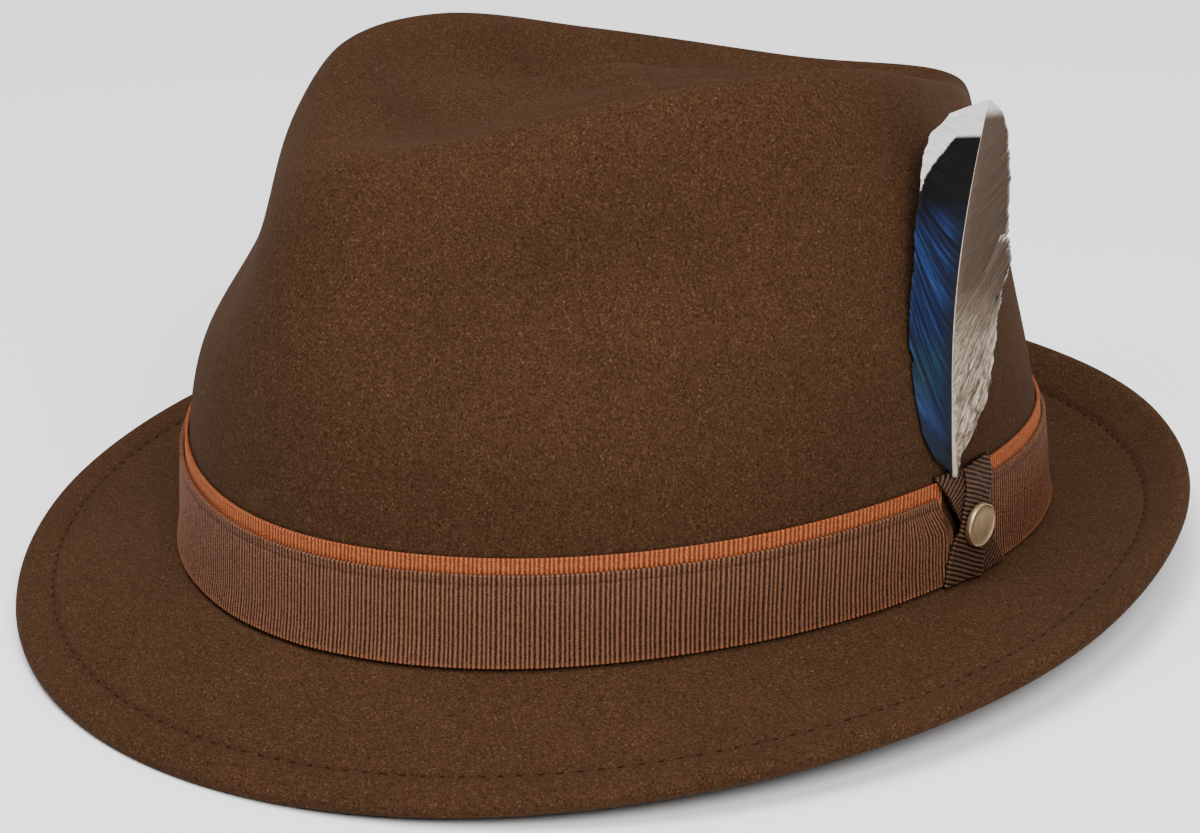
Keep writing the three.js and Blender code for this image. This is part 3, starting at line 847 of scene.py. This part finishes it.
def feather_quill():
    _, _, across, out = feather_frame()
    along = np.linspace(-0.012, 0.985, QUILL_RINGS)
    taper = 0.24 + 0.5 * (1 - smooth(along, -0.02, 0.22))
    radius = (QUILL_RADIUS * taper * (1 - along * 0.45))[:, None, None]
    angle = np.linspace(0, 2 * math.pi, QUILL_SIDES + 1)[:-1]
    ring = across * np.cos(angle)[:, None] + out * np.sin(angle)[:, None] * 0.8
    sections = quill_line(along)[:, None] + ring[None] * radius + out * 0.12
    points, faces = tube(sections)
    return make("feather_quill", points, faces)


# Materials
class Paint:
    """A material, built up node by node."""

    def __init__(self, name):
        self.material = bpy.data.materials.new(name)
        self.material.use_nodes = True
        self.tree = self.material.node_tree
        self.shader = self.tree.nodes["Principled BSDF"]

    def node(self, kind, values=None, **settings):
        node = self.tree.nodes.new("ShaderNode" + kind)
        for key, value in settings.items():
            setattr(node, key, value)
        for key, value in (values or {}).items():
            if isinstance(value, bpy.types.NodeSocket):
                self.tree.links.new(value, node.inputs[key])
            else:
                node.inputs[key].default_value = value
        return node

    def place(self):
        return self.node("TexCoord").outputs["Object"]

    def stretched(self, scale):
        return self.node("Mapping", {"Vector": self.place(), "Scale": scale}).outputs[0]

    def noise(self, scale, detail=2.0, rough=0.5, distort=0.0, place=None):
        values = {"Vector": place or self.place(), "Scale": scale, "Detail": detail}
        values |= {"Roughness": rough, "Distortion": distort}
        return self.node("TexNoise", values).outputs["Fac"]

    def attribute(self, name):
        return self.node("Attribute", attribute_name=name).outputs["Fac"]

    def math(self, operation, a, b=0.0):
        return self.node("Math", {0: a, 1: b}, operation=operation).outputs[0]

    def remap(self, value, low, high, to_low=0.0, to_high=1.0):
        values = {"Value": value, "From Min": low, "From Max": high}
        values |= {"To Min": to_low, "To Max": to_high}
        return self.node("MapRange", values, interpolation_type="SMOOTHSTEP").outputs[0]

    def ramp(self, value, stops):
        node = self.node("ValToRGB", {0: value})
        ramp = node.color_ramp
        while len(ramp.elements) < len(stops):
            ramp.elements.new(0.5)
        for element, (place, color) in zip(ramp.elements, stops):
            element.position = place
            element.color = (*color, 1)
        return node.outputs[0]

    def mix(self, share, a, b, how="MIX"):
        node = self.node("Mix", data_type="RGBA", blend_type=how)
        for key, value in ((0, share), (6, a), (7, b)):
            if isinstance(value, bpy.types.NodeSocket):
                self.tree.links.new(value, node.inputs[key])
            elif key == 0:
                node.inputs[key].default_value = value
            else:
                node.inputs[key].default_value = (*value, 1)
        return node.outputs[2]

    def bump(self, height, strength, distance):
        node = self.node("Bump", {"Height": height, "Strength": strength, "Distance": distance})
        self.tree.links.new(node.outputs[0], self.shader.inputs["Normal"])

    def finish(self, color, **values):
        if isinstance(color, bpy.types.NodeSocket):
            self.tree.links.new(color, self.shader.inputs["Base Color"])
        else:
            self.shader.inputs["Base Color"].default_value = (*color, 1)
        for key, value in values.items():
            socket = self.shader.inputs[key.replace("_", " ")]
            if isinstance(value, bpy.types.NodeSocket):
                self.tree.links.new(value, socket)
            else:
                socket.default_value = value
        return self.material


def felt_paint():
    p = Paint("felt")
    nap = p.noise(2100, 4, 0.6, 0.6)
    clumps = p.noise(520, 4, 0.62, 0.8)
    patches = p.noise(38, 3, 0.55)
    base = p.ramp(nap, [
        (0.3, (0.016, 0.0067, 0.0028)), (0.48, (0.037, 0.0173, 0.0082)),
        (0.6, (0.049, 0.0241, 0.0118)), (0.76, (0.115, 0.064, 0.036))])
    base = p.mix(p.remap(clumps, 0.35, 0.7, 0.0, 0.5), base, (0.68, 0.65, 0.62), "MULTIPLY")
    shade = p.ramp(patches, [(0.3, (0.44, 0.43, 0.42)), (0.7, (0.58, 0.57, 0.56))])
    base = p.mix(0.5, base, shade, "OVERLAY")
    # Painted shade darkens the felt in the sewn groove near the brim's edge.
    base = p.mix(p.math("MULTIPLY", p.attribute("seam"), 0.22), base, (0.014, 0.0065, 0.0032))
    height = p.math("ADD", p.math("MULTIPLY", nap, 0.5), clumps)
    p.bump(height, 0.35, 0.0005)
    return p.finish(
        base, Roughness=0.95, Sheen_Weight=0.04, Sheen_Roughness=0.45,
        Sheen_Tint=(0.6, 0.42, 0.3, 1), Specular_IOR_Level=0.03)


def ribbon_paint(name, low, high, selvedge, seam_shade):
    p = Paint(name)
    rib = p.math("POWER", p.math("COSINE", p.math("MULTIPLY", p.attribute("rib"), math.pi)), 2.0)
    grain = p.noise(2600, 3, 0.6)
    rib = p.math("ADD", rib, p.remap(grain, 0.3, 0.7, -0.3, 0.3))
    middle = tuple((a + b) / 2 for a, b in zip(low, high))
    # Painted light on the ribs: the grooves get the low colour as painted shade, and the rib tops get
    # the high colour as a painted highlight.
    base = p.ramp(rib, [(0.1, low), (0.6, middle), (1.0, high)])
    threads = p.math("SINE", p.math("MULTIPLY", p.attribute("across"), 2 * math.pi / 0.34))
    base = p.mix(p.remap(threads, -1, 1, 0.0, 0.3), base, (0.45, 0.42, 0.4), "MULTIPLY")
    dots = p.math("ADD", 0.1, p.math("MULTIPLY", rib, 0.9))
    base = p.mix(p.math("MULTIPLY", p.attribute("edge"), dots), base, selvedge)
    # Painted shade darkens the sunk seam line.
    base = p.mix(p.math("MULTIPLY", p.attribute("seam"), 0.5), base, seam_shade)
    height = p.math("ADD", p.math("MULTIPLY", threads, 0.25), p.math("MULTIPLY", grain, 0.8))
    p.bump(height, 0.35, 0.00025)
    return p.finish(
        base, Roughness=0.6, Sheen_Weight=0.02, Sheen_Roughness=0.4,
        Sheen_Tint=(0.8, 0.55, 0.42, 1), Specular_IOR_Level=0.12)


def stitch_paint():
    p = Paint("stitch")
    grain = p.noise(3000, 2)
    base = p.ramp(grain, [(0.3, (0.012, 0.006, 0.003)), (0.7, (0.03, 0.015, 0.0078))])
    p.bump(grain, 0.3, 0.0002)
    return p.finish(base, Roughness=0.9, Specular_IOR_Level=0.03)


def stud_paint():
    p = Paint("stud_brass")
    fine = p.noise(2200, 4, 0.6)
    wide = p.noise(260, 3, 0.5)
    base = p.ramp(wide, [(0.3, (0.50, 0.36, 0.21)), (0.7, (0.62, 0.46, 0.27))])
    base = p.mix(p.remap(fine, 0.45, 0.75, 0.0, 0.35), base, (0.30, 0.21, 0.12))
    p.bump(fine, 0.12, 0.0001)
    rough = p.remap(fine, 0.3, 0.7, 0.36, 0.5)
    return p.finish(base, Metallic=1.0, Roughness=rough)


def barb_place(p, across_barbs, along_barb):
    """A place for noises that are drawn out along the barbs."""
    x = p.math("MULTIPLY", p.attribute("barb"), across_barbs)
    y = p.math("MULTIPLY", p.attribute("side"), along_barb)
    return p.node("CombineXYZ", {0: x, 1: y}).outputs[0]


# Blue, with black above it and a white frayed tip
def front_vane(p, along, share, streak, white):
    blue = p.ramp(streak, [
        (0.36, (0.0015, 0.002, 0.005)), (0.5, (0.0045, 0.0095, 0.034)),
        (0.62, (0.009, 0.025, 0.092)), (0.8, (0.04, 0.085, 0.21))])
    teal = p.ramp(streak, [(0.4, (0.002, 0.005, 0.011)), (0.7, (0.010, 0.045, 0.085))])
    teal_share = p.math("MULTIPLY", p.remap(along, 0.16, 0.28), p.remap(along, 0.42, 0.32))
    blue = p.mix(teal_share, blue, teal)
    blue = p.mix(p.remap(share, 0.35, 0.02, 0.0, 0.8), blue, (0.0022, 0.0026, 0.005))
    blue = p.mix(p.remap(along, 0.34, 0.1, 0.0, 0.6), blue, (0.005, 0.009, 0.026))
    blue = p.mix(p.remap(along, 0.14, 0.03, 0.0, 0.85), blue, (0.003, 0.003, 0.004))
    front = p.mix(p.remap(along, 0.66, 0.76), blue, (0.0014, 0.0013, 0.0015))
    edge = p.math("MULTIPLY", p.math("SUBTRACT", 1.0, share), 11.0)
    reach = p.math("ADD", p.remap(along, 0.72, 1.0, -1.0, 7.0), p.math("MULTIPLY", streak, 1.2))
    tip = p.remap(p.math("SUBTRACT", reach, edge), 0.3, 0.9)
    tip = p.math("MAXIMUM", tip, p.remap(along, 0.905, 0.918))
    return p.mix(tip, front, white)


# Grey-brown above, pale tufts between brown ones in the down, and a white edge
def back_vane(p, along, share, fine, white):
    grey = p.ramp(fine, [(0.25, (0.042, 0.026, 0.016)), (0.75, (0.082, 0.058, 0.042))])
    tufts = p.noise(0.8, 4, 0.7, 1.2, barb_place(p, 0.30, 7.0))
    mottle = p.math("ADD", p.math("MULTIPLY", tufts, 0.7), p.math("MULTIPLY", fine, 0.3))
    down = p.ramp(mottle, [
        (0.38, (0.045, 0.028, 0.017)), (0.5, (0.17, 0.125, 0.09)), (0.62, (0.52, 0.45, 0.37))])
    uneven = p.math("MULTIPLY", p.math("SUBTRACT", tufts, 0.5), 0.5)
    back = p.mix(p.remap(p.math("ADD", along, uneven), 0.34, 0.56), down, grey)
    rim = p.remap(p.math("ADD", share, p.math("MULTIPLY", fine, 0.2)), 1.04, 1.13)
    pale = p.math("MAXIMUM", p.math("MULTIPLY", rim, 0.85), p.remap(along, 0.95, 0.99))
    return p.mix(pale, back, white)


def feather_paint():
    p = Paint("feather")
    along = p.attribute("along")
    side = p.attribute("side")
    share = p.math("ABSOLUTE", side)
    place = barb_place(p, 0.19, 1.2)
    streak = p.noise(0.55, 4, 0.7, 0.0, place)
    fine = p.noise(3.2, 3, 0.6, 0.0, place)
    white = p.ramp(fine, [(0.3, (0.40, 0.38, 0.35)), (0.7, (0.66, 0.64, 0.61))])
    front = front_vane(p, along, share, streak, white)
    back = back_vane(p, along, share, fine, white)
    base = p.mix(p.remap(side, -0.01, 0.01), front, back)
    p.bump(fine, 0.3, 0.0002)
    return p.finish(base, Roughness=0.55, Specular_IOR_Level=0.12)


def quill_paint():
    p = Paint("quill")
    grain = p.noise(900, 3, 0.6, 0.0, p.stretched((1, 1, 0.15)))
    base = p.ramp(grain, [(0.3, (0.26, 0.20, 0.14)), (0.7, (0.42, 0.35, 0.27))])
    p.bump(grain, 0.2, 0.0002)
    return p.finish(base, Roughness=0.45)


def place_piece(piece, paint, node=None):
    piece.data.materials.append(paint)
    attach(piece, "root")
    if node:
        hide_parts(node)


def dress_hat():
    # Each ribbon's low colour is painted shade in the grooves between ribs, and its high colour is a
    # painted highlight on the rib tops.
    dark_groove_shade = (0.003, 0.0012, 0.0007)
    dark_rib_highlight = (0.10, 0.047, 0.026)
    dark_band = ribbon_paint("band_dark", dark_groove_shade, dark_rib_highlight, (0.12, 0.048, 0.021), dark_groove_shade)
    feather_material = feather_paint()
    place_piece(felt_body(), felt_paint(), "felt_body")
    place_piece(brim_stitches(), stitch_paint())
    orange_groove_shade = (0.11, 0.022, 0.006)
    orange_rib_highlight = (0.39, 0.112, 0.036)
    trim = ribbon_paint("trim", orange_groove_shade, orange_rib_highlight, (0.27, 0.07, 0.02), orange_groove_shade)
    band_groove_shade = (0.015, 0.0042, 0.0017)
    band_rib_highlight = (0.19, 0.079, 0.040)
    # The band's last colour is painted shade for its sunk seam line.
    band = ribbon_paint("band", band_groove_shade, band_rib_highlight, (0.2, 0.07, 0.028), (0.011, 0.0045, 0.0025))
    place_piece(trim_ribbon(), trim, "trim_ribbon")
    place_piece(band_ribbon(), band, "band_ribbon")
    place_piece(under_strap(), dark_band, "bow_strap_under")
    place_piece(over_strap(), dark_band, "bow_strap_over")
    place_piece(stud(), stud_paint(), "stud")
    place_piece(feather_vanes(), feather_material, "feather")
    place_piece(feather_quill(), quill_paint())


# Stage
def towards(azimuth, elevation):
    """The direction from the hat, with the azimuth turned from the front over +X."""
    a = math.radians(azimuth)
    e = math.radians(elevation)
    return Vector((math.sin(a) * math.cos(e), -math.cos(a) * math.cos(e), math.sin(e)))


def lay_floor():
    corners = [(-1, -1), (1, -1), (1, 1), (-1, 1)]
    points = [(x * FLOOR_REACH, y * FLOOR_REACH, FLOOR_LEVEL) for x, y in corners]
    mesh = bpy.data.meshes.new("floor")
    mesh.from_pydata(points, [], [(0, 1, 2, 3)])
    floor = bpy.data.objects.new("floor", mesh)
    bpy.context.collection.objects.link(floor)
    pale = Paint("floor")
    floor.data.materials.append(pale.finish((0.92, 0.92, 0.92), Roughness=0.9))


def light(name, azimuth, elevation, power):
    data = bpy.data.lights.new(name, "AREA")
    data.shape = "DISK"
    data.size = LAMP_SIZE
    data.energy = power
    lamp = bpy.data.objects.new(name, data)
    back = towards(azimuth, elevation)
    lamp.location = back * LAMP_DISTANCE + Vector(LAMP_TARGET)
    lamp.rotation_mode = "QUATERNION"
    lamp.rotation_quaternion = (-back).to_track_quat("-Z", "Y")
    bpy.context.collection.objects.link(lamp)


def light_studio():
    light("key", 66, 40, 34)
    light("high", 20, 74, 25)
    light("left", -15, 45, 5)
    light("over", -60, 75, 9)
    light("back", 205, 50, 6)
    world = bpy.data.worlds.new("studio")
    bpy.context.scene.world = world
    world.use_nodes = True
    background = world.node_tree.nodes["Background"]
    background.inputs["Color"].default_value = (1, 1, 1, 1)
    background.inputs["Strength"].default_value = 0.2


def place_camera():
    data = bpy.data.cameras.new("camera")
    data.sensor_width = SENSOR_WIDTH
    data.lens = CAMERA_LENS
    data.clip_start = 0.05
    data.clip_end = 50
    camera = bpy.data.objects.new("camera", data)
    bpy.context.collection.objects.link(camera)
    back = towards(CAMERA_AZIMUTH, CAMERA_ELEVATION)
    right = towards(CAMERA_AZIMUTH + 90, 0)
    up = back.cross(right)
    roll = math.radians(CAMERA_ROLL)
    across = right * math.cos(roll) + up * math.sin(roll)
    upward = up * math.cos(roll) - right * math.sin(roll)
    turned = Matrix((across, upward, back)).transposed()
    camera.matrix_world = Matrix.Translation(CAMERA_PLACE) @ turned.to_4x4()
    bpy.context.scene.camera = camera


dress_hat()
lay_floor()
light_studio()
place_camera()
